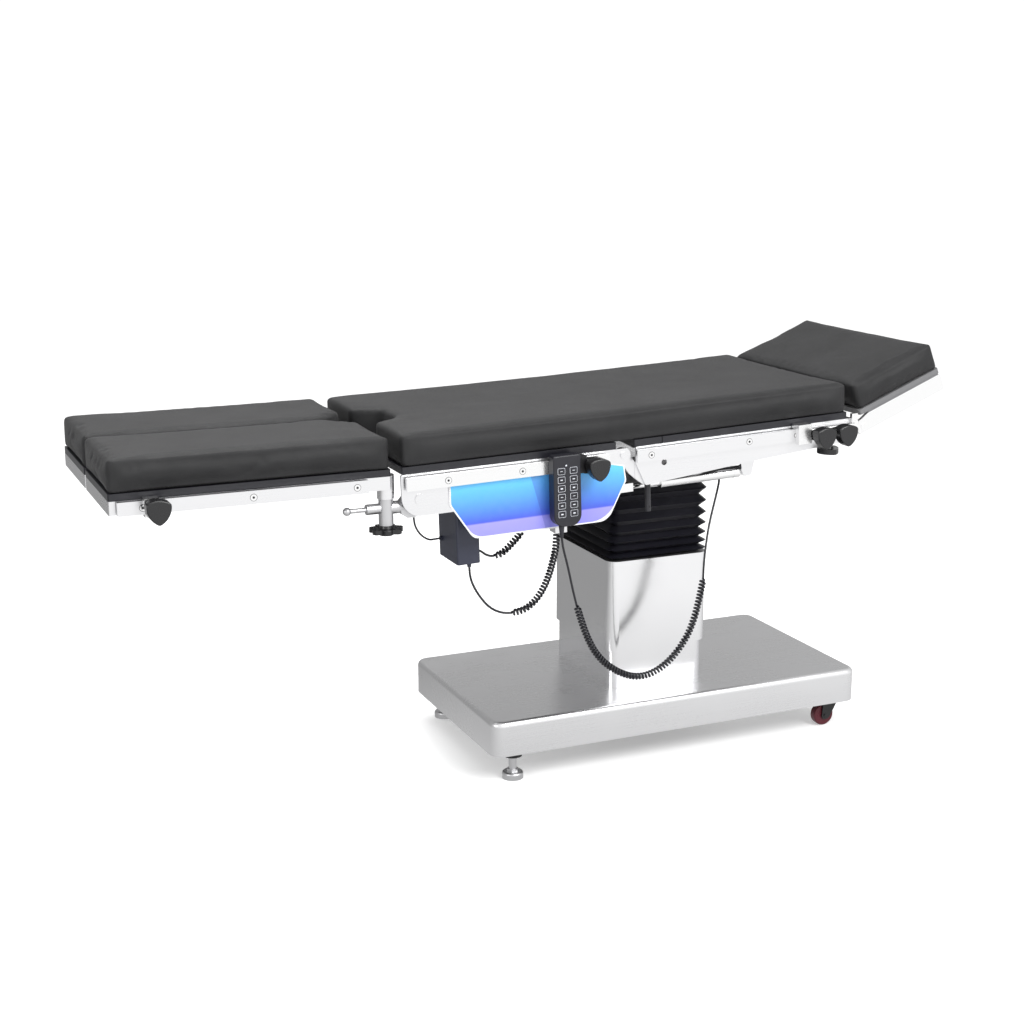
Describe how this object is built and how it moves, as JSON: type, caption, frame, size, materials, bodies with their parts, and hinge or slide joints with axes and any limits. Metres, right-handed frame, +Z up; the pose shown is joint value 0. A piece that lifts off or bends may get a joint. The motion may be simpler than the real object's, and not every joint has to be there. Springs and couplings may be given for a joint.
{
  "type": "operating table",
  "caption": "Surgical operating table with lifting column, tilting top, folding back, head and split leg sections, side rails and wired hand control.",
  "frame": {"origin": "middle of the table's overall box, on the floor", "axes": "+X along the table to the head end, -Y to the side with the hand control, +Z up"},
  "size_m": [2.0359, 0.671, 0.9663],
  "materials": {
    "brushed_steel": "brushed stainless sheet",
    "satin_steel": "satin stainless plate and rail",
    "bright_steel": "polished steel",
    "dark_iron": "black painted casting",
    "chassis_paint": "grey painted steel",
    "pad_cover": "matte black seamless covering",
    "board": "dark laminate board",
    "black_plastic": "moulded black plastic",
    "housing": "blue-grey moulded plastic",
    "panel": "glossy blue with white border",
    "bellows_rubber": "black rubber",
    "wheel_tread": "dark red rubber",
    "cord": "black cord jacket"
  },
  "bodies": {
    "base": {"base_cover": "brushed_steel", "base_chassis": "chassis_paint", "lower_column_cover": "brushed_steel"},
    "column_cover": {"upper_column_cover": "brushed_steel", "middle_mast": "chassis_paint", "bellows": "bellows_rubber"},
    "column_head": {"column_head": "chassis_paint"},
    "tilt_yoke": {"tilt_yoke": "bright_steel"},
    "table": {"seat_frame": "satin_steel", "seat_rails": "satin_steel", "seat_board": "board", "seat_pad": "pad_cover", "pad_fold": "pad_cover", "side_panel": "panel", "control_box": "housing", "handset": "housing", "rail_clamp": "black_plastic", "handset_cord_lead": "cord", "handset_cord_coil": "cord", "handset_cord_tail": "cord", "box_lead": "cord", "valve_cord_lead": "cord", "valve_cord_coil": "cord", "pump_cord_lead": "cord", "pump_cord_coil": "cord"},
    "back": {"back_frame": "satin_steel", "back_board": "board", "back_pad": "pad_cover", "head_sockets": "bright_steel"},
    "bridge": {"kidney_bridge": "board"},
    "back_cylinder": {"back_cylinders": "bright_steel"},
    "back_rod": {"back_rods": "bright_steel"},
    "head": {"head_frame": "satin_steel", "head_board": "board", "head_pad": "pad_cover"},
    "rail_clamp_knob": {"rail_clamp_knob": "black_plastic"},
    "leg_clamp_knob": {"leg_clamp_knob": "black_plastic"},
    "front_foot": {"front_levelling_foot": "bright_steel"},
    "front_fork": {"front_caster_fork": "black_plastic"},
    "front_wheel": {"front_caster_wheel": "wheel_tread"},
    "rear_foot": {"rear_levelling_foot": "bright_steel"},
    "rear_fork": {"rear_caster_fork": "black_plastic"},
    "rear_wheel": {"rear_caster_wheel": "wheel_tread"},
    "front_head_knob_1": {"front_head_knob_1": "black_plastic"},
    "front_head_knob_2": {"front_head_knob_2": "black_plastic"},
    "front_lock_knob": {"front_lock_knob": "black_plastic"},
    "front_leg_hinge": {"front_leg_hinge": "bright_steel"},
    "front_leg": {"front_leg_frame": "satin_steel", "front_leg_board": "board", "front_leg_pad": "pad_cover", "leg_clamp": "bright_steel"},
    "front_star_knob": {"front_star_knob": "black_plastic"},
    "rear_head_knob_1": {"rear_head_knob_1": "black_plastic"},
    "rear_head_knob_2": {"rear_head_knob_2": "black_plastic"},
    "rear_lock_knob": {"rear_lock_knob": "black_plastic"},
    "rear_leg_hinge": {"rear_leg_hinge": "bright_steel"},
    "rear_leg": {"rear_leg_frame": "satin_steel", "rear_leg_board": "board", "rear_leg_pad": "pad_cover"},
    "rear_star_knob": {"rear_star_knob": "black_plastic"}
  },
  "joints": [
    {"name": "front_foot_screw", "type": "slide", "parent": "base", "child": "front_foot", "axis": [0, 0, 1], "range_m": [-0.01, 0.01]},
    {"name": "front_caster_swivel", "type": "hinge", "parent": "base", "child": "front_fork", "pos_m": [0.757, -0.215, 0.07], "axis": [0, 0, 1], "continuous": true},
    {"name": "front_wheel_roll", "type": "hinge", "parent": "front_fork", "child": "front_wheel", "pos_m": [0.743, -0.215, 0.028], "axis": [0, 1, 0], "continuous": true},
    {"name": "rear_foot_screw", "type": "slide", "parent": "base", "child": "rear_foot", "axis": [0, 0, 1], "range_m": [-0.01, 0.01]},
    {"name": "rear_caster_swivel", "type": "hinge", "parent": "base", "child": "rear_fork", "pos_m": [0.757, 0.215, 0.07], "axis": [0, 0, 1], "continuous": true},
    {"name": "rear_wheel_roll", "type": "hinge", "parent": "rear_fork", "child": "rear_wheel", "pos_m": [0.743, 0.215, 0.028], "axis": [0, 1, 0], "continuous": true},
    {"name": "lift_cover", "type": "slide", "parent": "base", "child": "column_cover", "axis": [0, 0, 1], "range_m": [-0.095, 0.075], "deforming": ["bellows"]},
    {"name": "lift_head", "type": "slide", "parent": "column_cover", "child": "column_head", "axis": [0, 0, 1], "range_m": [-0.095, 0.075], "deforming": ["bellows"]},
    {"name": "table_tilt", "type": "hinge", "parent": "column_head", "child": "tilt_yoke", "pos_m": [0.2995, 0, 0.716], "axis": [0, -1, 0], "range_deg": [-25, 25], "deforming": ["handset_cord_lead", "handset_cord_coil", "handset_cord_tail"]},
    {"name": "lateral_tilt", "type": "hinge", "parent": "tilt_yoke", "child": "table", "pos_m": [0.2995, 0, 0.716], "axis": [0.9996, 0, 0.0288], "range_deg": [-18, 18], "deforming": ["handset_cord_lead", "handset_cord_coil", "handset_cord_tail"]},
    {"name": "back_tilt", "type": "hinge", "parent": "table", "child": "back", "pos_m": [0.13816, 0, 0.75667], "axis": [0, 1, 0], "range_deg": [-75, 8], "deforming": ["pad_fold"]},
    {"name": "bridge_lift", "type": "slide", "parent": "back", "child": "bridge", "axis": [-0.0401, 0, 0.9992], "range_m": [0, 0.06], "deforming": ["pad_fold"]},
    {"name": "back_cylinder_pivot", "type": "hinge", "parent": "back", "child": "back_cylinder", "pos_m": [0.49014, 0, 0.67944], "axis": [0, 1, 0], "range_deg": [-2, 9]},
    {"name": "back_rod_stroke", "type": "slide", "parent": "back_cylinder", "child": "back_rod", "axis": [-0.9992, 0, -0.0401], "range_m": [-0.02, 0.105]},
    {"name": "head_tilt", "type": "hinge", "parent": "back", "child": "head", "pos_m": [0.7876, 0, 0.77385], "axis": [0, 1, 0], "range_deg": [0, 110]},
    {"name": "front_head_knob_1_turn", "type": "hinge", "parent": "back", "child": "front_head_knob_1", "pos_m": [0.64473, -0.303, 0.76771], "axis": [0, -1, 0], "range_deg": [-180, 180]},
    {"name": "front_head_knob_2_turn", "type": "hinge", "parent": "back", "child": "front_head_knob_2", "pos_m": [0.70468, -0.303, 0.77012], "axis": [0, -1, 0], "range_deg": [-180, 180]},
    {"name": "front_lock_knob_turn", "type": "hinge", "parent": "back", "child": "front_lock_knob", "pos_m": [0.68014, -0.288, 0.7331], "axis": [0.0401, 0, -0.9992], "range_deg": [-180, 180]},
    {"name": "front_leg_fold", "type": "hinge", "parent": "table", "child": "front_leg_hinge", "pos_m": [-0.35292, -0.25, 0.70051], "axis": [0, 1, 0], "range_deg": [-90, 8]},
    {"name": "front_leg_spread", "type": "hinge", "parent": "front_leg_hinge", "child": "front_leg", "pos_m": [-0.42342, -0.25, 0.70521], "axis": [0, 0, -1], "range_deg": [-90, 0]},
    {"name": "front_star_knob_turn", "type": "hinge", "parent": "front_leg_hinge", "child": "front_star_knob", "pos_m": [-0.42342, -0.25, 0.64601], "axis": [0, 0, 1], "range_deg": [-180, 180]},
    {"name": "rear_head_knob_1_turn", "type": "hinge", "parent": "back", "child": "rear_head_knob_1", "pos_m": [0.64473, 0.303, 0.76771], "axis": [0, 1, 0], "range_deg": [-180, 180]},
    {"name": "rear_head_knob_2_turn", "type": "hinge", "parent": "back", "child": "rear_head_knob_2", "pos_m": [0.70468, 0.303, 0.77012], "axis": [0, 1, 0], "range_deg": [-180, 180]},
    {"name": "rear_lock_knob_turn", "type": "hinge", "parent": "back", "child": "rear_lock_knob", "pos_m": [0.68014, 0.288, 0.7331], "axis": [0.0401, 0, -0.9992], "range_deg": [-180, 180]},
    {"name": "rear_leg_fold", "type": "hinge", "parent": "table", "child": "rear_leg_hinge", "pos_m": [-0.35292, 0.25, 0.70051], "axis": [0, 1, 0], "range_deg": [-90, 8]},
    {"name": "rear_leg_spread", "type": "hinge", "parent": "rear_leg_hinge", "child": "rear_leg", "pos_m": [-0.42342, 0.25, 0.70521], "axis": [0, 0, 1], "range_deg": [-90, 0]},
    {"name": "rear_star_knob_turn", "type": "hinge", "parent": "rear_leg_hinge", "child": "rear_star_knob", "pos_m": [-0.42342, 0.25, 0.64601], "axis": [0, 0, 1], "range_deg": [-180, 180]},
    {"name": "rail_clamp_knob_turn", "type": "hinge", "parent": "table", "child": "rail_clamp_knob", "pos_m": [0.05212, -0.301, 0.74289], "axis": [0, -1, 0], "range_deg": [-180, 180]},
    {"name": "leg_clamp_knob_turn", "type": "hinge", "parent": "front_leg", "child": "leg_clamp_knob", "pos_m": [-0.92582, -0.301, 0.74051], "axis": [0, -1, 0], "range_deg": [-180, 180]}
  ],
  "couplings": [
    {"joint": "lift_head", "follows": "lift_cover", "ratio": 1},
    {"joint": "back_cylinder_pivot", "follows": "back_tilt", "ratio": -0.108},
    {"joint": "back_rod_stroke", "follows": "back_tilt", "m_per_rad": -0.0787}
  ]
}
